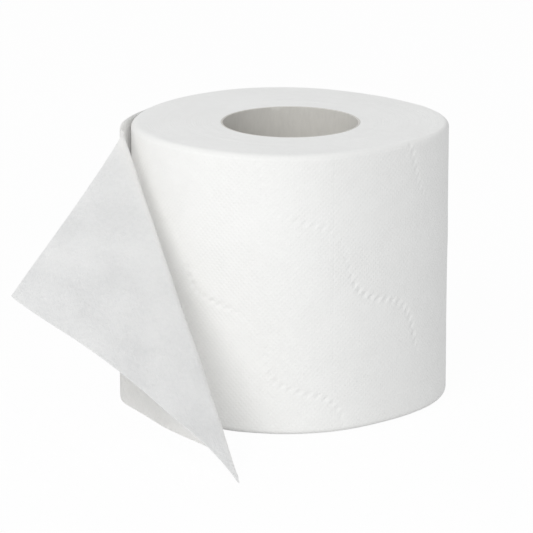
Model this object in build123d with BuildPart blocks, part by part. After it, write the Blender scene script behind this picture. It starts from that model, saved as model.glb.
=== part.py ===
from build123d import *

import os
from math import atan2, cos, degrees, radians, sin, sqrt

# Toilet paper roll standing on end, with its last sheet pulled loose and folded back.
# Millimetres, +Z up. The origin is on the axis of the core, in the plane the roll stands on.
# The viewer stands at -Y, and the loose tail leaves the roll at the left, towards the viewer.

# Core: a spiral-wound cardboard tube, sawn flush with the paper
roll_width = 95.0
core_bore_radius = 22.9
core_wall = 0.7

# Outline of the wound paper: a soft roll, a little off centre and squeezed out of round
mean_radius = 52.3
off_centre_x = -0.9
off_centre_y = 2.7
oval = 0.4
three_lobe = 0.8
four_lobe = 0.9
four_lobe_turned = 0.3
rim_bevel = 1.0
outline_points = 8

# Turns of the wound web, seen as a shallow spiral line on both end faces
turn_count = 12
groove_width = 0.35
groove_depth = 0.3
groove_clear_of_core = 1.6
groove_clear_of_rim = 3.2
points_per_turn = 24

# Last turn, which stands off the roll before it becomes the tail
sheet_thickness = 0.5
loose_from_angle = 152.0
peel_angle = 198.9
loose_gap = 4.9
loose_points = 4

# Tail: a square-cut sheet that leaves in one vertical plane and is folded outward on a diagonal
tail_heading = 30.6
tail_length = 87.6
fold_inset_at_floor = 5.3
soft_bend_width = 23.6
soft_bend_angle_at_top = 0.6
soft_bend_angle_at_floor = 25.0
fold_radius_at_top = 2.2
fold_radius_at_floor = 4.6
fold_angle_at_top = 98.0
fold_angle_at_floor = 36.0
fold_overrun = 6.0
fold_share_of_edge = 0.1
web_lap = 0.3

core_outer_radius = core_bore_radius + core_wall

# The tail is cut from larger sheets: how far past its corners, and a size past the whole roll
cut_past_corner = 1.3
past_everything = 4 * (mean_radius + tail_length)


def outline_radius(angle):
    """Distance from the core's axis to the wound paper's surface, at an angle in degrees."""
    a = radians(angle)
    offset_part = off_centre_x * cos(a) + off_centre_y * sin(a)
    lobes = oval * cos(2 * a) + three_lobe * cos(3 * a)
    lobes += four_lobe * cos(4 * a) + four_lobe_turned * sin(4 * a)
    return mean_radius + offset_part + lobes


def polar(radius, angle):
    """Point in plan at a radius and an angle in degrees."""
    return Vector(radius * cos(radians(angle)), radius * sin(radians(angle)))


def outline_point(angle):
    """Point of the wound paper's outline at an angle in degrees."""
    return polar(outline_radius(angle), angle)


def heading_at(curve, angle):
    """Direction in which a curve, given as a point for each angle, runs at an angle."""
    return (curve(angle + 1) - curve(angle - 1)).normalized()


def tangent_arcs(points, headings):
    """Line of arcs that run on smoothly, two to a span, with the given heading at each point."""
    arcs = []
    for i in range(len(points) - 1):
        start, end = points[i], points[i + 1]
        span = end - start
        along = span.dot(headings[i] + headings[i + 1])
        bend = 1 - headings[i].dot(headings[i + 1])
        reach = span.dot(span) / (along + sqrt(along * along + 2 * bend * span.dot(span)))
        middle = (start + end + (headings[i] - headings[i + 1]) * reach) / 2
        first = TangentArc(start, middle, tangent=headings[i])
        arcs += [first, TangentArc(middle, end, tangent=first % 1)]
    return arcs


# Core tube
with BuildPart() as core_tube:
    with BuildSketch():
        Circle(core_outer_radius)
        Circle(core_bore_radius, mode=Mode.SUBTRACT)
    extrude(amount=roll_width)


# Directions of the tail: along it, out of it to the left, and down its diagonal fold
along_tail = Vector(sin(radians(tail_heading)), -cos(radians(tail_heading)), 0)
out_of_tail = Vector(-cos(radians(tail_heading)), -sin(radians(tail_heading)), 0)
up = Vector(0, 0, 1)
peel_point = polar(outline_radius(peel_angle) + loose_gap, peel_angle)
fold_slant = degrees(atan2(tail_length - fold_inset_at_floor, roll_width))
down_fold = along_tail * sin(radians(fold_slant)) - up * cos(radians(fold_slant))
across_fold = along_tail * cos(radians(fold_slant)) + up * sin(radians(fold_slant))
fold_top = peel_point + up * roll_width

# Places on the flat sheet, as lengths down the fold and across it from the fold's top
corner_across = tail_length * cos(radians(fold_slant))
corner_down = tail_length * sin(radians(fold_slant))
fold_length = tail_length / sin(radians(fold_slant))


def share_down_fold(down):
    """How far a place is down the fold, from 0 at its top to 1 at the cut end."""
    return down / fold_length


def between(top_value, floor_value, down):
    """A value that changes evenly from the fold's top to the cut end."""
    return top_value + (floor_value - top_value) * share_down_fold(down)


def fold_plane(down):
    """Plane square to the fold: local x runs across the fold, local y out of the tail."""
    return Plane(origin=fold_top + down_fold * down, x_dir=across_fold, z_dir=across_fold.cross(out_of_tail))


def bend_shape(down):
    """Turns in degrees and radii of the soft bend and of the fold at a place down the fold."""
    soft_turn = between(soft_bend_angle_at_top, soft_bend_angle_at_floor, down)
    fold_turn = between(fold_angle_at_top, fold_angle_at_floor, down)
    fold_radius = between(fold_radius_at_top, fold_radius_at_floor, down)
    soft_radius = soft_bend_width / radians(soft_turn)
    return soft_turn, soft_radius, fold_turn, fold_radius


def fold_chain(down, lift):
    """End of the fold and its heading in the fold plane, on the face that lies lift outward."""
    soft_turn, soft_radius, fold_turn, fold_radius = bend_shape(down)
    turned = radians(soft_turn + fold_turn)
    soft = radians(soft_turn)
    x = -soft_bend_width + (soft_radius - lift) * sin(soft)
    y = lift + (soft_radius - lift) * (1 - cos(soft))
    x += (fold_radius - lift) * (sin(turned) - sin(soft))
    y += (fold_radius - lift) * (cos(soft) - cos(turned))
    return Vector(x, y), Vector(cos(turned), sin(turned))


def fold_point(down, across, lift=0.0):
    """Point of the tail in space beyond the fold, from its place on the flat sheet."""
    soft_turn, soft_radius, fold_turn, fold_radius = bend_shape(down)
    end, heading = fold_chain(down, lift)
    left_over = across - fold_radius * radians(fold_turn)
    local = end + heading * left_over
    return fold_top + down_fold * down + across_fold * local.X + out_of_tail * local.Y


def on_top_edge(along):
    """Point of the flap on the sheet's upper edge, at a length along it from the fold."""
    return fold_point(along * sin(radians(fold_slant)), along * cos(radians(fold_slant)))


def on_cut_end(down_end):
    """Point of the flap on the sheet's cut end, at a length along it from the free corner."""
    down = corner_down + down_end * cos(radians(fold_slant))
    across = corner_across - down_end * sin(radians(fold_slant))
    return fold_point(down, across)


free_corner = on_top_edge(tail_length)
floor_corner = on_cut_end(roll_width)
flap_starts = on_top_edge(tail_length * fold_share_of_edge)


def web_section(down):
    """Section of the upright web, its soft bend and the fold, drawn square to the fold."""
    soft_turn, soft_radius, fold_turn, fold_radius = bend_shape(down)
    web_reach = roll_width * sin(radians(fold_slant)) + fold_overrun
    with BuildSketch(fold_plane(down)) as section:
        with BuildLine():
            inner = Line((-web_reach, 0), (-soft_bend_width, 0))
            inner_soft = JernArc(inner @ 1, (1, 0), soft_radius, soft_turn)
            inner_fold = JernArc(inner_soft @ 1, inner_soft % 1, fold_radius, fold_turn)
            outer = Line((-web_reach, sheet_thickness), (-soft_bend_width, sheet_thickness))
            outer_soft = JernArc(outer @ 1, (1, 0), soft_radius - sheet_thickness, soft_turn)
            outer_radius = fold_radius - sheet_thickness
            outer_fold = JernArc(outer_soft @ 1, outer_soft % 1, outer_radius, fold_turn)
            Line(inner @ 0, outer @ 0)
            Line(inner_fold @ 1, outer_fold @ 1)
        make_face()
    return section.sketch


def flap_section(down):
    """Section of the flap beyond the fold, drawn square to the fold."""
    inner, heading = fold_chain(down, 0)
    outer, heading = fold_chain(down, sheet_thickness)
    reach = heading * (tail_length + fold_overrun)
    with BuildSketch(fold_plane(down)) as section:
        with BuildLine():
            Polyline(inner, inner + reach, outer + reach, outer, close=True)
        make_face()
    return section.sketch


# Upright part of the tail, with the soft bend and the fold
with BuildPart() as tail_web:
    add(web_section(-fold_overrun))
    add(web_section(fold_length + fold_overrun))
    loft(ruled=True)
    with BuildSketch(Plane(origin=peel_point, x_dir=along_tail, z_dir=up)):
        with Locations((-web_lap, 0)):
            Rectangle(past_everything, past_everything, align=(Align.MIN, Align.CENTER))
    extrude(amount=roll_width, mode=Mode.INTERSECT)

# Flap: the sheet beyond the fold, cut to the upper edge and the cut end of the sheet
with BuildPart() as tail_flap:
    add(flap_section(-fold_overrun))
    add(flap_section(fold_length + fold_overrun))
    loft(ruled=True)
    top_run = flap_starts - free_corner
    end_run = floor_corner - free_corner
    with BuildSketch(Plane(origin=free_corner, x_dir=top_run, z_dir=top_run.cross(end_run))) as cut:
        with BuildLine():
            across_run = end_run.dot(top_run.normalized())
            down_run = (end_run - top_run.normalized() * across_run).length
            past_top = Vector(top_run.length, 0) * cut_past_corner
            past_end = Vector(across_run, down_run) * cut_past_corner
            Polyline((0, 0), past_top, past_end, close=True)
        make_face()
    extrude(amount=tail_length, both=True, mode=Mode.INTERSECT)
    with BuildSketch():
        Rectangle(past_everything, past_everything)
    extrude(amount=roll_width, mode=Mode.INTERSECT)


def loose_gap_at(angle, extra):
    """Distance of the last turn from the roll, which eases open from inside the wound paper."""
    share = (angle - loose_from_angle) / (peel_angle - loose_from_angle)
    eased = share * share * (3 - 2 * share)
    return extra - 2 * sheet_thickness * (1 - eased) + loose_gap * eased


def loose_line(extra):
    """One face of the last turn as arcs, extra further out than its inner face."""
    def curve(angle):
        return polar(outline_radius(angle) + loose_gap_at(angle, extra), angle)

    step = (peel_angle - loose_from_angle) / loose_points
    angles = [loose_from_angle + step * i for i in range(loose_points)]
    points = [curve(angle) for angle in angles] + [peel_point + out_of_tail * extra]
    headings = [heading_at(curve, angle) for angle in angles] + [along_tail]
    return tangent_arcs(points, headings)


def spiral_point(step, sideways):
    """Point of the spiral line between turns, counted in steps from the core out to the rim."""
    angle = 360 * step / points_per_turn
    inside = core_outer_radius + groove_clear_of_core
    outside = outline_radius(angle) - groove_clear_of_rim
    share = step / (turn_count * points_per_turn)
    return polar(inside + (outside - inside) * share + sideways, angle)


def spiral_edge(sideways):
    """One edge of the spiral line, in short straight runs."""
    return Polyline(*[spiral_point(step, sideways) for step in range(turn_count * points_per_turn + 1)])


# Paper: one web from the core to the free corner, wound, peeled off and folded
with BuildPart() as paper_roll:
    with BuildSketch():
        with BuildLine():
            angles = [360 * i / outline_points for i in range(outline_points + 1)]
            tangent_arcs([outline_point(a) for a in angles], [heading_at(outline_point, a) for a in angles])
        make_face()
    extrude(amount=roll_width)
    chamfer(edges().filter_by(GeomType.CIRCLE), length=rim_bevel)
    with BuildSketch():
        Circle(core_outer_radius)
    extrude(amount=roll_width, mode=Mode.SUBTRACT)

    with BuildSketch():
        with BuildLine():
            inner_face = loose_line(0)
            outer_face = loose_line(sheet_thickness)
            Line(inner_face[0] @ 0, outer_face[0] @ 0)
            Line(inner_face[-1] @ 1, outer_face[-1] @ 1)
        make_face()
    extrude(amount=roll_width)
    add(tail_web.part)
    add(tail_flap.part)

    for level, inward in ((0, 1), (roll_width, -1)):
        with BuildSketch(Plane.XY.offset(level)):
            with BuildLine():
                near_edge = spiral_edge(-groove_width / 2)
                far_edge = spiral_edge(groove_width / 2)
                Line(near_edge @ 0, far_edge @ 0)
                Line(near_edge @ 1, far_edge @ 1)
            make_face()
        extrude(amount=inward * groove_depth, mode=Mode.SUBTRACT)


core_tube.part.label = "core_tube"
paper_roll.part.label = "paper_roll"

os.makedirs("parts", exist_ok=True)
export_step(core_tube.part, "parts/core_tube.step")
export_step(paper_roll.part, "parts/paper_roll.step")
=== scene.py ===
from math import atan2, cos, pi, radians, sin, tan

import bpy
import numpy as np
from mathutils import Matrix, Vector


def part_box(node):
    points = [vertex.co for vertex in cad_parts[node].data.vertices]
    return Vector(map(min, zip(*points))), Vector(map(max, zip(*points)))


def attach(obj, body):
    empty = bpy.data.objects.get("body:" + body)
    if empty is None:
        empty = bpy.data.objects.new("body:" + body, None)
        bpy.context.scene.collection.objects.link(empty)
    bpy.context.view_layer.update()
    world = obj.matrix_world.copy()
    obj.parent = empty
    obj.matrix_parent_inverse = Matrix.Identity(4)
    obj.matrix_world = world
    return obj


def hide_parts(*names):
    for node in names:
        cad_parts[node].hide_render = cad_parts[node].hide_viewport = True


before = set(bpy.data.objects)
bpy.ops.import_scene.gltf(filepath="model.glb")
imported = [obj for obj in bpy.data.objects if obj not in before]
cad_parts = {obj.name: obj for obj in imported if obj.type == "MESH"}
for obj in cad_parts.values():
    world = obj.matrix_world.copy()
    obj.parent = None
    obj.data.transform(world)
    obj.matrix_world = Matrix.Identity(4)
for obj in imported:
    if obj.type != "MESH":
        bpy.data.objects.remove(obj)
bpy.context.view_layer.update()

# Toilet paper roll standing on end, its last sheet pulled loose at the left and folded back.
# Lengths are millimetres and angles are degrees, unless a comment says otherwise.
MM = 0.001

# The wound roll. Its outline is a circle, shifted in x and y, with lobes as (waves, cosine, sine)
core_low, core_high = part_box("core_tube")
roll_width = (core_high.z - core_low.z) / MM
core_outer_radius = (core_high.x - core_low.x) / MM / 2
core_wall = 0.7
core_chamfer = 0.12
core_clearance = 0.02
mean_radius = 52.3
outline_shift = (-0.9, 2.7)
outline_lobes = ((2, 0.4, 0.0), (3, 0.8, 0.0), (4, 0.9, 0.3))
rim_radius = 1.9
rim_unevenness = 0.25
rim_patch_size = 9.0
rim_patch_seed = 6
core_seam_pitch = 78.0
core_seam_height = 0.08
core_seam_share = 0.006

# Soft relief, as layers of (depth, patch size, seed). It fades round the rims, as their own
# unevenness sets in
wound_relief = ((0.10, 14.0, 3), (0.05, 5.0, 4))
sheet_relief = ((-0.12, 11.0, 7), (-0.06, 4.5, 8))
relief_fade = 1.6
rim_unevenness_rise = 3.0

# The streaks of the turns on the upper end face
turn_streaks = 30
turn_streak_swing = 2.5
turn_streak_height = 0.1
turn_streak_seed = 5
turn_streaks_from_end = 0.6

# The loose turn, which opens earlier at the floor than at the top
sheet_thickness = 0.32
edge_thickness_share = 0.3
edge_taper = 1.0
loose_from_angle = 152.0
opens_later_at_top = 8.0
peel_angle = 198.9
gap_at_start = -0.75
gap_at_peel = 4.9
gap_slope_at_floor = -7.5
gap_slope_at_top = -9.8
tighter_at_top = 0.24
tighter_over = 25.0
loose_radius = 59.4
loose_edge_inset = 0.5
inset_fades_over = 18.0

# The tail, its soft bend and its diagonal fold. A gain is added in full at the floor, and a share is
# of the way down to it
tail_heading = 31.0
tail_length = 87.6
length_at_top = 83.9
length_gain = -0.8
drawn_corner = 7.9
drawn_corner_power = 3
short_corner = 3.4
short_corner_share = 0.1
fold_reach_at_floor = 82.5
soft_bend_width = 23.6
soft_curl_at_top = 0.0044
soft_curl_gain = 0.0143
fold_radius_at_top = 2.24
fold_radius_gain = 2.29
least_fold_radius = 0.8
fold_turn_at_top = 88.5
fold_turn_gain = -49.9
fold_strip = 6.0
fold_share_limits = (-0.3, 1.3)

# The crease at the top edge: turned further over, and set nearer the roll
crease_turn = 26.0
crease_shift = 2.67
crease_share = 0.3
crease_limit = -0.05

# The tip at the floor, where the fold opens out and the web curls in. A bow is (depth, middle, width)
tip_from_share = 0.734
tip_limit = 1.3
tip_unfold = 41.1
tip_shift = 1.27
tip_curl = 0.0028
bow_out = (1.07, 27.0, 14.0)
bow_in = (-0.84, 54.0, 8.0)
bow_height = 25.0
floor_softness = 0.5

# The embossed pattern: a rolling line of small dots, repeated on a slanted square lattice
emboss_pitch = 41.0
emboss_swing = 3.8
emboss_phase = 91.9
emboss_shift = 18.75
line_stretch = 1.085
dot_pitch = 3.05
dot_breadth = 2.0
dot_depth = 0.3
dot_patch_size = 16.0
dot_patch_seed = 1783
dot_patch_contrast = 0.8
dots_end_off_line = 4.0
dots_left_in_sheet = 0.5
pattern_seam_angle = 130.0
pattern_start_angle = -140.0
perforation_angle = -73.0
slit_breadth = 0.4
slit_pitch = 2.6
slit_evenness = 0.6
quilt_pitch = 1.79
quilt_on_web = 0.6
quilt_lost_on_flap = 0.1

# The loose turn lets more and more light through, from one place on and over one length. Both are
# shares of the loose turn, counted back from the peel
translucent_from = 0.82
translucent_over = 0.55

# Rows and columns of the grids
side_rows = 135
upper_rim_rows = 9
upper_end_rows = 30
core_hole_rows = 6
lower_end_rows = 12
lower_rim_rows = 8
wound_columns = 481
sheet_rows = 131
web_columns = 160
fold_columns = 19
flap_columns = 91
core_outer_rows = 12
core_inner_rows = 60
core_columns = 193


def outline_radius(angle):
    """Radius of the wound paper at angles in radians: a circle, off centre, with a few soft lobes."""
    off_centre = outline_shift[0] * np.cos(angle) + outline_shift[1] * np.sin(angle)
    lobes = sum(
        cosine * np.cos(waves * angle) + sine * np.sin(waves * angle)
        for waves, cosine, sine in outline_lobes
    )
    return mean_radius + off_centre + lobes


def ease(share):
    """Smooth step from 0 to 1."""
    share = np.clip(share, 0, 1)
    return share * share * (3 - 2 * share)


def hermite(share, start, end, start_slope, end_slope):
    """Cubic from start to end over a share of 0 to 1, with the slopes given at both ends."""
    rest = 1 - share
    return (
        (1 + 2 * share) * rest**2 * start
        + share * rest**2 * start_slope
        + share**2 * (3 - 2 * share) * end
        - share**2 * rest * end_slope
    )


def bell(distance, width):
    """Bell of height 1 that falls to a third at a width from its middle."""
    return np.exp(-((distance / width) ** 2))


def soft_noise(x, y, scale, seed):
    """Smooth relief from -1 to 1: random values on a repeating square lattice, with eased steps."""
    lattice = 64
    table = np.random.default_rng(seed).uniform(-1, 1, (lattice, lattice))
    column = np.floor(x / scale).astype(int)
    row = np.floor(y / scale).astype(int)
    across = ease(x / scale - column)
    up = ease(y / scale - row)
    left = column % lattice
    right = (column + 1) % lattice
    below = row % lattice
    above = (row + 1) % lattice
    low = table[below, left] * (1 - across) + table[below, right] * across
    high = table[above, left] * (1 - across) + table[above, right] * across
    return low * (1 - up) + high * up


def soft_relief(along, height, layers):
    """Sum of layers of smooth relief, each given by its depth, patch size and seed."""
    return sum(depth * soft_noise(along, height, size, seed) for depth, size, seed in layers)


# The web's length round the roll, from the seam of the pattern, as a table for each quarter degree
seam = radians(pattern_seam_angle)
table_angles = np.linspace(seam - 2 * pi, seam, 4 * 360 + 1)
table_radii = outline_radius(table_angles)
table_points = np.stack([table_radii * np.cos(table_angles), table_radii * np.sin(table_angles)], -1)
table_steps = np.linalg.norm(np.diff(table_points, axis=0), axis=1)
table_lengths = np.concatenate([[0], np.cumsum(table_steps)])
round_length = table_lengths[-1]


def web_length(angle):
    """Length of web from the seam of the pattern to an angle in radians, anticlockwise."""
    return np.interp(angle, table_angles, table_lengths)


def rolling_line(along_web, height):
    """Place of each point on the rolling lines: its length along a line, and its distance off it.

    With p and q the coordinates turned by 45 degrees, a line is q = swing * sin(2 pi p / pitch),
    and the lines stand one pitch apart in q.
    """
    x = along_web - web_length(radians(pattern_start_angle))
    y = roll_width - height
    p = (x + y) / np.sqrt(2)
    q = (x - y) / np.sqrt(2)
    turn = 2 * pi * (p - emboss_phase) / emboss_pitch
    slope = emboss_swing * 2 * pi / emboss_pitch * np.cos(turn)
    off = q - emboss_shift - emboss_swing * np.sin(turn)
    off = off - emboss_pitch * np.round(off / emboss_pitch)
    return p * line_stretch, off / np.sqrt(1 + slope**2)


def dot_strength(along_web, height, off):
    """How hard the dots are pressed, from 0 to 1 in soft patches, and 0 well away from their line."""
    patches = soft_noise(along_web, height, dot_patch_size, dot_patch_seed)
    pressed = np.clip(0.5 + dot_patch_contrast * patches, 0, 1)
    return np.where(np.abs(off) < dots_end_off_line, pressed, 0)


def dot_depths(along, off, strength):
    """Depth of the dots, each a rounded hollow: a squared cosine along the line and a bell across it."""
    return dot_depth * strength * np.cos(pi * along / dot_pitch) ** 2 * bell(off, dot_breadth / 2)


def add_piece(name, points, corners, replaced, sharp_angle):
    """Makes a mesh piece from a grid of points, rows by columns, in millimetres.

    Points that coincide, such as a closed grid's first and last columns, become one vertex. The
    corners are values on the same grid, by name, and a pair of values is a UV map. A cell with only
    three places left is a triangle, and one with fewer is left out. The piece rides on the root body
    and is smooth, but for edges sharper than an angle in degrees.
    """
    rows, columns = points.shape[:2]
    # Adding zero turns a rounded minus zero into zero, so that the two count as one place
    decimals = 5
    rounded = np.round(points.reshape(-1, 3), decimals) + 0.0
    places, place_of = np.unique(rounded, axis=0, return_inverse=True)
    row, column = np.meshgrid(np.arange(rows - 1), np.arange(columns - 1), indexing="ij")
    first = (row * columns + column).ravel()
    quads = np.stack([first, first + 1, first + columns + 1, first + columns], -1)
    vertices = place_of.ravel()[quads]
    kept = vertices != np.roll(vertices, -1, axis=1)
    kept &= (kept.sum(axis=1) > 2)[:, None]
    sides = kept.sum(axis=1)
    sides = sides[sides > 0]
    mesh = bpy.data.meshes.new(name)
    mesh.vertices.add(len(places))
    mesh.vertices.foreach_set("co", (places * MM).astype(np.float32).ravel())
    mesh.loops.add(int(sides.sum()))
    mesh.loops.foreach_set("vertex_index", vertices[kept].astype(np.int32))
    mesh.polygons.add(len(sides))
    starts = np.cumsum(sides) - sides
    mesh.polygons.foreach_set("loop_start", starts.astype(np.int32))
    mesh.update(calc_edges=True)
    for label, values in corners.items():
        picked = values.reshape(rows * columns, -1)[quads[kept]].astype(np.float32)
        if picked.shape[1] == 2:
            layer = mesh.uv_layers.new(name=label)
            layer.uv.foreach_set("vector", picked.ravel())
        else:
            layer = mesh.attributes.new(label, "FLOAT", "CORNER")
            layer.data.foreach_set("value", picked.ravel())
    mesh.shade_smooth()
    mesh.set_sharp_from_angle(angle=radians(sharp_angle))
    piece = bpy.data.objects.new(name, mesh)
    bpy.context.scene.collection.objects.link(piece)
    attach(piece, "root")
    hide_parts(replaced)
    return piece


# The wound paper: side, rounded rims, both end faces and the wall against the core
def wound_profile():
    """Closed profile of the wound paper: its share of the way out, rim share, height and end, by row.

    A row's radius is the core's, plus the share of the way out, plus the rim share of the rim radius.
    End is 0 on the side, 1 on the end faces and the hole, and between them round the rims.
    """
    rows = []
    for height in np.linspace(rim_radius, roll_width - rim_radius, side_rows):
        rows.append((1, 1, height, 0))
    for turn in np.linspace(0, pi / 2, upper_rim_rows)[1:-1]:
        rows.append((1, cos(turn), roll_width - rim_radius + rim_radius * sin(turn), turn / (pi / 2)))
    for share in np.linspace(1, 0, upper_end_rows):
        rows.append((share, 0, roll_width, 1))
    for height in np.linspace(roll_width, 0, core_hole_rows)[1:-1]:
        rows.append((0, 0, height, 1))
    for share in np.linspace(0, 1, lower_end_rows):
        rows.append((share, 0, 0, 1))
    for turn in np.linspace(pi / 2, 0, lower_rim_rows)[1:-1]:
        rows.append((1, cos(turn), rim_radius - rim_radius * sin(turn), turn / (pi / 2)))
    rows.append(rows[0])
    return np.array(rows).T


def wound_paper():
    """Wound paper as rows of its profile by columns of angle.

    Radius = core + way out * (outline - rim - core) + rim share * rim + soft relief - dots. The upper
    end face rises and falls by tenths of a millimetre from turn to turn, in long streaks round the core.
    """
    way_out, rim_share, height, end = (values[:, None] for values in wound_profile())
    angle = np.linspace(seam - 2 * pi, seam, wound_columns)[None, :]
    along_web = web_length(angle) + 0 * height
    height = height + 0 * angle
    end = end + 0 * angle
    way_out = way_out + 0 * angle
    line_along, line_off = rolling_line(along_web, height)
    strength = dot_strength(along_web, height, line_off)
    on_side = 1 - ease(end * relief_fade)
    swell = soft_relief(along_web, height, wound_relief)
    hollows = dot_depths(line_along, line_off, strength)
    patches = soft_noise(along_web, 0 * height, rim_patch_size, rim_patch_seed)
    rim = rim_radius + rim_unevenness * patches * ease(end * rim_unevenness_rise)
    reach = outline_radius(angle) - rim - core_outer_radius
    radius = core_outer_radius + way_out * reach + rim_share * rim
    radius = radius + on_side * (swell - hollows)
    on_end = ease((end - turn_streaks_from_end) / (1 - turn_streaks_from_end))
    inside = on_end * np.sin(pi * way_out) ** 0.5
    round_core = turn_streak_swing * np.sin(angle) + 0 * way_out
    streak = soft_noise(way_out * turn_streaks, round_core, scale=1.0, seed=turn_streak_seed)
    height = np.where(height > roll_width / 2, height + turn_streak_height * inside * streak, height)
    # The seam's two columns are given the same radius and height, to meet without a step
    radius[:, -1] = radius[:, 0]
    height[:, -1] = height[:, 0]
    points = np.stack([radius * np.cos(angle), radius * np.sin(angle), height], -1)
    corners = {
        "flat": np.stack([along_web, height], -1) * MM,
        "line_along": line_along,
        "line_off": line_off,
        "dot_strength": strength,
        "quilted": 1 + 0 * end,
        "end_face": end,
        "way_out": way_out,
        "loose": 0 * end,
        "flap_painted_shade_and_mottle": 0 * end,
    }
    return add_piece("wound_paper", points, corners, "paper_roll", sharp_angle=60)


# The loose turn, the tail and its diagonal fold: one thin sheet
fold_slant = atan2(fold_reach_at_floor, roll_width)
fold_length = tail_length / sin(fold_slant)
heading = radians(tail_heading)
along_tail = np.array([sin(heading), -cos(heading), 0])
out_of_tail = np.array([-cos(heading), -sin(heading), 0])
across_fold = cos(fold_slant) * along_tail + sin(fold_slant) * np.array([0, 0, 1])


def sheet_plan(along, height):
    """Plan of the sheet: round the roll for negative lengths, and straight on along the tail.

    The loose turn's gap from the roll is a cubic in the angle, and tighter towards the top. It starts
    below zero, so that the sheet comes out of the roll's surface without a step. Near the floor the
    straight part is bowed out and in again by two bells along it, which fade with the height.
    """
    peel = radians(peel_angle)
    angle = peel + np.minimum(along, 0) / loose_radius
    opens = radians(loose_from_angle) + radians(opens_later_at_top) * height / roll_width
    share = np.clip((angle - opens) / (peel - opens), 0, 1)
    slope = gap_slope_at_floor + (gap_slope_at_top - gap_slope_at_floor) * height / roll_width
    gap = hermite(share, gap_at_start, gap_at_peel, 0, slope * (peel - opens))
    gap = gap * (1 - tighter_at_top * np.exp((height - roll_width) / tighter_over))
    radius = outline_radius(angle) + gap
    past = np.maximum(along, 0)[..., None]
    bow = sum(size * bell(along - middle, width) for size, middle, width in (bow_out, bow_in))
    bow = (bow * np.exp(-np.maximum(height, 0) / bow_height))[..., None]
    plan = np.stack([radius * np.cos(angle), radius * np.sin(angle), height], -1)
    return plan + past * along_tail + bow * out_of_tail


def sheet_surface(along, height):
    """Middle of the sheet, from the length along it past the peel and the height on the flat sheet.

    The flat sheet stands upright on its plan. Past a slanted line it bends: first softly, with a curl
    that grows down the fold, then round the fold's small radius, and then it runs straight on. With
    t the way past that line, the sheet is moved by (x(t) - t) across the fold and y(t) out of the
    tail. At the top edge a crease turns the fold further over and sets it nearer the roll. Towards
    the tip the fold opens and moves out, and what would dip below the floor rests on it.
    """
    drop = height - roll_width
    down = along * sin(fold_slant) - drop * cos(fold_slant)
    share = np.clip(down / fold_length, *fold_share_limits)
    at_tip = np.clip((share - tip_from_share) / (1 - tip_from_share), 0, tip_limit) ** 2
    at_top = np.exp(-np.maximum(share, crease_limit) / crease_share)
    curl = soft_curl_at_top + soft_curl_gain * share + tip_curl * at_tip
    fold_radius = np.maximum(fold_radius_at_top + fold_radius_gain * share, least_fold_radius)
    fold_turn = fold_turn_at_top + fold_turn_gain * share - tip_unfold * at_tip + crease_turn * at_top
    fold_turn = np.radians(fold_turn)
    past_fold = along * cos(fold_slant) + drop * sin(fold_slant)
    past_fold = past_fold - tip_shift * at_tip + crease_shift * at_top
    t = np.maximum(past_fold + soft_bend_width, 0)
    bent = curl * np.minimum(t, soft_bend_width)
    x = np.sin(bent) / curl
    y = (1 - np.cos(bent)) / curl
    in_fold = np.clip(t - soft_bend_width, 0, fold_radius * fold_turn)
    folded = bent + in_fold / fold_radius
    x = x + fold_radius * (np.sin(folded) - np.sin(bent))
    y = y + fold_radius * (np.cos(bent) - np.cos(folded))
    straight = np.maximum(t - soft_bend_width - fold_radius * fold_turn, 0)
    x = x + straight * np.cos(folded)
    y = y + straight * np.sin(folded)
    surface = sheet_plan(along, height) + (x - t)[..., None] * across_fold + y[..., None] * out_of_tail
    level = surface[..., 2]
    surface[..., 2] = (level + np.sqrt(level**2 + floor_softness**2)) / 2
    return surface


def closed_shell(outer, inner):
    """Grid round a thin sheet: outer face, inner face and back, closed above and below on its middle."""
    middle = (outer + inner) / 2
    faces = np.concatenate([outer, inner[:, ::-1], outer[:, :1]], axis=1)
    ends = np.concatenate([middle, middle[:, ::-1], middle[:, :1]], axis=1)
    return np.concatenate([ends[:1], faces, ends[-1:]], axis=0)


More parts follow.
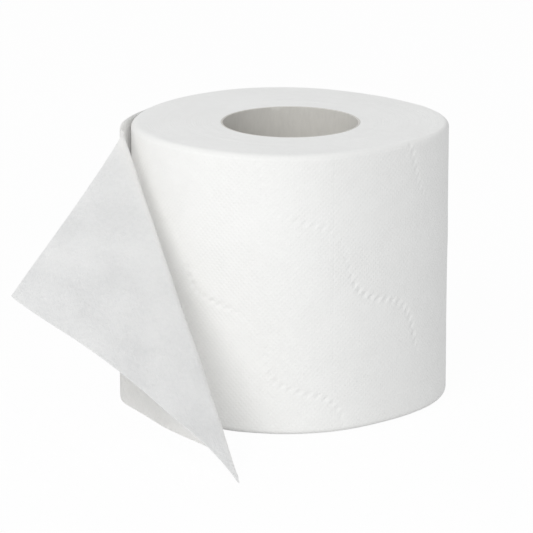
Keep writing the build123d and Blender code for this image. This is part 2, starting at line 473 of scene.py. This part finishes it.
def loose_sheet():
    """The loose sheet as a thin closed shell: rows of height by a loop along its outer and inner faces.

    Columns are shared out between the stretch before the fold, the fold itself and the flap. The
    flap's cut end is a line, drawn out by a power towards the floor and short by an exponential at the
    top. The faces lie half a thickness either side of the middle, which has soft relief and dots, and
    the sheet thins towards its cut edges.
    """
    height = np.linspace(0, roll_width, sheet_rows)[:, None]
    start = (radians(loose_from_angle) - radians(peel_angle)) * loose_radius
    low_share = 1 - height / roll_width
    end = length_at_top + length_gain * low_share + drawn_corner * low_share**drawn_corner_power
    end = end - short_corner * np.exp(-low_share / short_corner_share)
    fold = (roll_width - height) * tan(fold_slant)
    past_fold = fold + np.minimum(fold_strip, (end - fold) / 2)
    steps = [
        start + (fold - start) * np.linspace(0, 1, web_columns)[None, :],
        fold + (past_fold - fold) * np.linspace(0, 1, fold_columns)[None, 1:],
        past_fold + (end - past_fold) * np.linspace(0, 1, flap_columns)[None, 1:],
    ]
    along = np.concatenate(steps, axis=1)
    height = height + 0 * along
    inset = loose_edge_inset * (1 - ease((along - start) / inset_fades_over))
    inset_height = roll_width / 2 + (height - roll_width / 2) * (1 - 2 * inset / roll_width)
    middle = sheet_surface(along, inset_height)
    normal = np.cross(np.gradient(middle, axis=1), np.gradient(middle, axis=0))
    normal /= np.linalg.norm(normal, axis=-1, keepdims=True)
    web = along + round_length
    line_along, line_off = rolling_line(web, height)
    strength = dots_left_in_sheet * dot_strength(web, height, line_off)
    relief = soft_relief(web, height, sheet_relief)
    # The relief and the dots set in where the inset has faded, clear of the roll's surface
    free = ease((along - start) / inset_fades_over - 1)
    moved = middle + normal * (free * (relief - dot_depths(line_along, line_off, strength)))[..., None]
    to_edge = np.minimum(np.minimum(height, roll_width - height), end - along)
    full = ease(to_edge / edge_taper)
    thickness = sheet_thickness * (edge_thickness_share + (1 - edge_thickness_share) * full)
    half = normal * thickness[..., None] / 2
    past_share = ease((along - fold) / fold_strip)
    corners = {
        "flat": np.stack([web, height], -1) * MM,
        "line_along": line_along,
        "line_off": line_off,
        "dot_strength": strength,
        "quilted": quilt_on_web - quilt_lost_on_flap * past_share,
        "end_face": 0 * web,
        "way_out": 1 + 0 * web,
        "loose": ease((translucent_from - along / start) / translucent_over),
        # The share past the fold carries the flap's painted shade, and its stronger cloudy mottle
        "flap_painted_shade_and_mottle": past_share,
    }
    corners = {label: closed_shell(values, values) for label, values in corners.items()}
    points = closed_shell(moved + half, moved - half)
    return add_piece("loose_sheet", points, corners, "paper_roll", sharp_angle=50)


# The core: a spiral-wound board tube
def core_board():
    """Board tube: a closed profile turned round the axis, its rims very slightly broken.

    Its inner wall carries a faint raised seam on a helix, a bell across the share of a turn.
    """
    inner = core_outer_radius - core_wall
    outer = core_outer_radius - core_clearance
    rim = [(inner, core_chamfer), (inner + core_chamfer, 0)]
    rim += [(outer - core_chamfer, 0), (outer, core_chamfer)]
    rising = np.linspace(core_chamfer, roll_width - core_chamfer, core_outer_rows)[1:-1]
    falling = np.linspace(roll_width - core_chamfer, core_chamfer, core_inner_rows)[1:-1]
    profile = rim + [(outer, height) for height in rising]
    profile += [(radius, roll_width - height) for radius, height in rim[::-1]]
    profile += [(inner, height) for height in falling]
    profile.append(profile[0])
    radius, height = (values[:, None] for values in np.array(profile).T)
    angle = np.linspace(0, 2 * pi, core_columns)[None, :]
    seam_at = (angle / (2 * pi) + height / core_seam_pitch) % 1
    raised = core_seam_height * bell(seam_at - 0.5, core_seam_share)
    radius = radius + np.where(radius < inner + core_chamfer, raised, 0)
    height = height + 0 * angle
    points = np.stack([radius * np.cos(angle), radius * np.sin(angle), height], -1)
    flat = np.stack([angle * core_outer_radius + 0 * height, height], -1) * MM
    return add_piece("core_board", points, {"flat": flat}, "core_tube", sharp_angle=40)


# Materials
class Value:
    """A shader value. Operators on it add Math nodes to its material."""

    def __init__(self, finish, socket):
        self.finish = finish
        self.socket = socket

    def __add__(self, other):
        return self.finish.maths("ADD", self, other)

    def __radd__(self, other):
        return self.finish.maths("ADD", other, self)

    def __sub__(self, other):
        return self.finish.maths("SUBTRACT", self, other)

    def __rsub__(self, other):
        return self.finish.maths("SUBTRACT", other, self)

    def __mul__(self, other):
        return self.finish.maths("MULTIPLY", self, other)

    def __rmul__(self, other):
        return self.finish.maths("MULTIPLY", other, self)

    def __truediv__(self, other):
        return self.finish.maths("DIVIDE", self, other)

    def __pow__(self, other):
        return self.finish.maths("POWER", self, other)


class Finish:
    """The nodes of one material, or of the surroundings."""

    def __init__(self, owner):
        owner.use_nodes = True
        self.tree = owner.node_tree
        self.tree.nodes.clear()

    def node(self, kind, settings=None, sockets=None, output=0):
        """Adds a node: its settings first, and then its sockets' values or links."""
        made = self.tree.nodes.new("ShaderNode" + kind)
        for name, setting in (settings or {}).items():
            setattr(made, name, setting)
        for name, value in (sockets or {}).items():
            if isinstance(value, Value):
                self.tree.links.new(value.socket, made.inputs[name])
            else:
                made.inputs[name].default_value = value
        return Value(self, made.outputs[output])

    def end(self, kind, shader):
        """Ends the nodes in a shader."""
        made = self.tree.nodes.new("ShaderNode" + kind)
        self.tree.links.new(shader.socket, made.inputs[0])

    def maths(self, operation, *values):
        """A Math node on values or numbers."""
        return self.node("Math", {"operation": operation}, dict(enumerate(values)))

    def attribute(self, name):
        """A value stored on the piece's corners."""
        return self.node("Attribute", {"attribute_name": name}, output="Fac")

    def separate(self, vector):
        """The three parts of a vector."""
        outputs = self.node("SeparateXYZ", None, {0: vector}).socket.node.outputs
        return [Value(self, outputs[place]) for place in range(3)]

    def noise(self, vector, scale, detail, roughness=0.5):
        """Noise from -0.5 to 0.5."""
        sockets = {"Vector": vector, "Scale": scale, "Detail": detail, "Roughness": roughness}
        return self.node("TexNoise", {"noise_dimensions": "3D"}, sockets) - 0.5

    def mix(self, share, first, second):
        """Colour that goes from the first to the second with the share."""
        # A Mix node's colour sockets go by number, because its sockets for numbers share their names
        return self.node("Mix", {"data_type": "RGBA"}, {0: share, 6: first, 7: second}, output=2)


# Colours of the paper and the board, each from its darker to its lighter patches
wound_colours = ((0.895, 0.893, 0.881, 1), (0.957, 0.956, 0.946, 1))
# The flap's colours past the fold are a painted shade: greyer and cooler than the paper's own
painted_shade_flap_colours = ((0.815, 0.822, 0.829, 1), (0.92, 0.929, 0.937, 1))
light_through_colour = (0.962, 0.96, 0.955, 1)
board_colours = ((0.62, 0.605, 0.572, 1), (0.78, 0.765, 0.728, 1))

# Scales of the noise in the finishes, in features to the metre
quilt_patch_scale = 45.0
cloud_scale = 55.0
mottle_scale = 260.0
clump_scale = 650.0
wound_fibre_scales = (2400.0, 800.0, 1.0)
loose_fibre_scales = (900.0, 2600.0, 1.0)
fleck_scale = 900.0
board_cloud_scale = 90.0

# Depths of the paper's relief in its finish, in millimetres
quilt_depth = 0.014
quilt_patch_depth = 0.018
fibre_depth = 0.09
dot_bump_depth = 0.16
slit_depth = 0.05
mottle_depth = 0.12
clump_depth = 0.16
turn_edge_depth = 0.18

# The paper's tone, from 0, its darker colour, to 1, its lighter one, and how far each mark moves it
plain_tone = 0.4
mottle_tone = 0.6
clump_tone = 1.6
fibre_tone = 0.3
loose_fibre_tone = 0.7
cloud_tone = 0.7
loose_cloud_tone = 0.5
flap_cloud_tone = 1.0
# Painted light: the end faces are made lighter, standing in for the light on the top
painted_end_face_light = 0.5
turn_edge_tone = 0.25
# Painted shade: a darker line round the rims
painted_rim_shade_tone = 2.0

# The same for the board
board_tone = 0.5
fleck_tone = 0.6
board_cloud_tone = 0.5

# How much more light comes through where the loose sheet is cloudy or clumped
cloud_light = 0.3
clump_light = 0.6


def quilt_lines(paper, web, height):
    """The quilt: two sets of crossing lines at 45 degrees, which leave fine dots where they cross."""
    turn = 2 * pi / (quilt_pitch * MM)
    down_lines = paper.maths("COSINE", (web + height) * turn)
    up_lines = paper.maths("COSINE", (web - height) * turn)
    return (down_lines + 1.0) * (up_lines + 1.0) * paper.attribute("quilted")


def pressed_dots(paper):
    """The embossed dots: a squared cosine along their line and a bell across it, as in the mesh."""
    beat = paper.maths("COSINE", paper.attribute("line_along") * (pi / dot_pitch))
    off = paper.attribute("line_off")
    across = paper.maths("EXPONENT", off * off * (-1 / (dot_breadth / 2) ** 2))
    return beat * beat * across * paper.attribute("dot_strength")


def perforation(paper, web, height):
    """The faint row of slits between two sheets: a bell across it and a cosine up it."""
    perforation_at = float(web_length(radians(perforation_angle))) * MM
    from_slits = (web - perforation_at) / (slit_breadth * MM)
    slits = paper.maths("EXPONENT", from_slits * from_slits * -1.0)
    beat = paper.maths("COSINE", height * (2 * pi / (slit_pitch * MM)))
    return slits * (slit_evenness + (1 - slit_evenness) * beat)


def turn_edges(paper, place):
    """The turns' edges on the end faces: long streaks round the core, one for every few turns."""
    streaks_across = 70.0
    streak_swing = 1.6
    x, y, _ = paper.separate(place)
    radius = paper.maths("SQRT", x * x + y * y)
    across = paper.attribute("way_out") * streaks_across
    swung = {0: across, 1: x / radius * streak_swing, 2: y / radius * streak_swing}
    return paper.noise(paper.node("CombineXYZ", None, swung), scale=1.0, detail=3.0, roughness=0.6)


def tissue_finish(name, light_let_through):
    """Soft white tissue: fibres, a fine diamond quilt, embossed dots, and wound edges on the ends.

    A thin sheet also lets a share of the light through where it is loose. Past the fold its colour is
    painted greyer and cooler, a painted shade on the flap.
    """
    material = bpy.data.materials.new(name)
    paper = Finish(material)
    place = paper.node("TexCoord", output="Object")
    flat = paper.node("UVMap", {"uv_map": "flat"})
    web, height, _ = paper.separate(flat)
    end_face = paper.attribute("end_face")
    side = 1 - end_face
    loose = paper.attribute("loose")
    flap_painted_shade_and_mottle = paper.attribute("flap_painted_shade_and_mottle")

    # Fibres show as short streaks: up and down the wound web, and along the thin sheet
    fibre_scales = loose_fibre_scales if light_let_through else wound_fibre_scales
    drawn = paper.node("VectorMath", {"operation": "MULTIPLY"}, {0: flat, 1: fibre_scales})
    fibres = paper.noise(drawn, scale=1.0, detail=3.0, roughness=0.6)
    mottle = paper.noise(place, mottle_scale, detail=3.0, roughness=0.6)
    clumps = paper.noise(flat, clump_scale, detail=3.0, roughness=0.7) * loose
    cloud = paper.noise(place, cloud_scale, detail=2.0)
    patches = paper.noise(flat, quilt_patch_scale, detail=2.0)
    edges = turn_edges(paper, place)

    quilt = quilt_lines(paper, web, height) * (quilt_depth + quilt_patch_depth * patches)
    relief = quilt + fibres * fibre_depth - pressed_dots(paper) * dot_bump_depth
    relief = side * (relief - perforation(paper, web, height) * slit_depth)
    relief = relief + mottle * mottle_depth + clumps * clump_depth + end_face * edges * turn_edge_depth
    bump = paper.node("Bump", None, {"Strength": 1.0, "Distance": MM, "Height": relief})

    # A darker line of painted shade runs round the rims, and the turns' edges show on the end faces
    painted_rim_shade_at = 0.4
    painted_rim_shade_sharpness = -9.0
    painted_rim_shade = paper.maths("EXPONENT", (end_face - painted_rim_shade_at) ** 2 * painted_rim_shade_sharpness)
    tone = plain_tone + mottle * mottle_tone + clumps * clump_tone
    tone = tone + fibres * side * (fibre_tone + loose_fibre_tone * loose)
    tone = tone + cloud * (cloud_tone + loose_cloud_tone * loose + flap_cloud_tone * flap_painted_shade_and_mottle)
    # Painted light: the end faces are lifted in tone, and the turns' edges show on them
    tone = tone + end_face * (painted_end_face_light + edges * turn_edge_tone)
    tone = tone - painted_rim_shade * end_face * painted_rim_shade_tone
    colour = paper.mix(tone, *wound_colours)
    if light_let_through:
        # Painted shade: past the fold the colour turns to the greyer, cooler flap colours
        colour = paper.mix(flap_painted_shade_and_mottle, colour, paper.mix(tone, *painted_shade_flap_colours))
    sockets = {"Base Color": colour, "Roughness": 0.95, "Specular IOR Level": 0.15, "Normal": bump}
    shader = paper.node("BsdfPrincipled", None, sockets)
    if light_let_through:
        thin = loose * (light_let_through + cloud * cloud_light + clumps * clump_light)
        through = paper.node("BsdfTranslucent", None, {0: light_through_colour, 1: bump})
        shader = paper.node("MixShader", None, {0: thin, 1: shader, 2: through})
    paper.end("OutputMaterial", shader)
    return material


def board_finish():
    """Grey core board: flecked pulp, drawn out up and down the tube."""
    material = bpy.data.materials.new("grey_core_board")
    board = Finish(material)
    place = board.node("TexCoord", output="Object")
    fleck_stretch = (1.0, 1.0, 0.3)
    drawn = board.node("VectorMath", {"operation": "MULTIPLY"}, {0: place, 1: fleck_stretch})
    flecks = board.noise(drawn, fleck_scale, detail=3.0, roughness=0.65)
    cloud = board.noise(place, board_cloud_scale, detail=2.0)
    tone = board_tone + flecks * fleck_tone + cloud * board_cloud_tone
    colour = board.mix(tone, *board_colours)
    fleck_height = 0.05 * MM
    bump = board.node("Bump", None, {"Strength": 1.0, "Distance": fleck_height, "Height": flecks})
    sockets = {"Base Color": colour, "Roughness": 0.85, "Specular IOR Level": 0.25, "Normal": bump}
    board.end("OutputMaterial", board.node("BsdfPrincipled", None, sockets))
    return material


wound_paper().data.materials.append(tissue_finish("wound_tissue", light_let_through=0))
loose = loose_sheet()
loose.data.materials.append(tissue_finish("thin_tissue", light_let_through=0.63))
core_board().data.materials.append(board_finish())


# Floor, light and camera, in metres
def white_for_camera(finish, shader, white, share):
    """Mixes a share of plain white into a shader, for camera, glossy and transmission rays alone."""
    rays = finish.node("LightPath").socket.node.outputs
    kinds = ("Is Camera Ray", "Is Glossy Ray", "Is Transmission Ray")
    camera, glossy, transmission = (Value(finish, rays[kind]) for kind in kinds)
    seen = finish.maths("MAXIMUM", finish.maths("MAXIMUM", camera, glossy), transmission)
    white = finish.node(white, None, {0: (1, 1, 1, 1), 1: 1.0})
    return finish.node("MixShader", None, {0: seen * share, 1: shader, 2: white})


def add_floor():
    """Plain pale floor that keeps a soft shadow, a little below the roll so that the two don't touch."""
    material = bpy.data.materials.new("pale_floor")
    finish = Finish(material)
    pale = (0.9, 0.9, 0.9, 1)
    paint = finish.node("BsdfDiffuse", None, {0: pale})
    finish.end("OutputMaterial", white_for_camera(finish, paint, "Emission", share=0.96))
    half_width = 3.0
    below_roll = 0.0002
    mesh = bpy.data.meshes.new("floor")
    signs = ((-1, -1), (1, -1), (1, 1), (-1, 1))
    mesh.from_pydata([(x * half_width, y * half_width, 0) for x, y in signs], [], [(0, 1, 2, 3)])
    mesh.materials.append(material)
    floor = bpy.data.objects.new("floor", mesh)
    floor.location.z = -below_roll
    bpy.context.scene.collection.objects.link(floor)


def add_world(strength):
    """Even pale surroundings, white where the camera sees them."""
    world = bpy.data.worlds.new("surroundings")
    bpy.context.scene.world = world
    finish = Finish(world)
    pale = (0.98, 0.99, 1.0, 1)
    around = finish.node("Background", None, {0: pale, 1: strength})
    finish.end("OutputWorld", white_for_camera(finish, around, "Background", share=1.0))


def add_lamp(name, azimuth, elevation, size, power, colour):
    """Square soft lamp that faces the roll.

    Azimuth and elevation are in degrees, from the viewer to the right and up.
    """
    distance = 1.9
    level = distance * cos(radians(elevation))
    aim = Vector((0, 0, 0.05))
    side = radians(azimuth)
    place = aim + Vector((level * sin(side), -level * cos(side), distance * sin(radians(elevation))))
    light = bpy.data.lights.new(name, "AREA")
    light.shape = "SQUARE"
    light.size = size
    light.energy = power
    light.color = colour
    lamp = bpy.data.objects.new(name, light)
    lamp.location = place
    lamp.rotation_euler = (aim - place).to_track_quat("-Z", "Y").to_euler()
    bpy.context.scene.collection.objects.link(lamp)


def add_camera():
    """Camera at the photograph's viewpoint. Its angles are in radians."""
    camera_place = Vector((0, -1.2108, 0.37313))
    pitch = 0.26514
    yaw = -0.00661
    roll = 0.00167
    focal_pixels = 3682.05
    frame_pixels = 533
    ahead = Vector((sin(yaw) * cos(pitch), cos(yaw) * cos(pitch), -sin(pitch)))
    right = ahead.cross(Vector((0, 0, 1))).normalized()
    up = right.cross(ahead)
    turned_right = right * cos(roll) + up * sin(roll)
    turned_up = up * cos(roll) - right * sin(roll)
    turn = Matrix((turned_right, turned_up, -ahead)).transposed()
    lens = bpy.data.cameras.new("camera")
    lens.sensor_width = 36.0
    lens.lens = focal_pixels / frame_pixels * lens.sensor_width
    camera = bpy.data.objects.new("camera", lens)
    camera.matrix_world = Matrix.Translation(camera_place) @ turn.to_4x4()
    bpy.context.scene.collection.objects.link(camera)
    bpy.context.scene.camera = camera


add_floor()
add_world(strength=0.625)
add_lamp("key", azimuth=-27, elevation=34, size=1.2, power=14.8, colour=(1.0, 0.996, 0.983))
add_camera()
bpy.context.scene.view_settings.view_transform = "Standard"
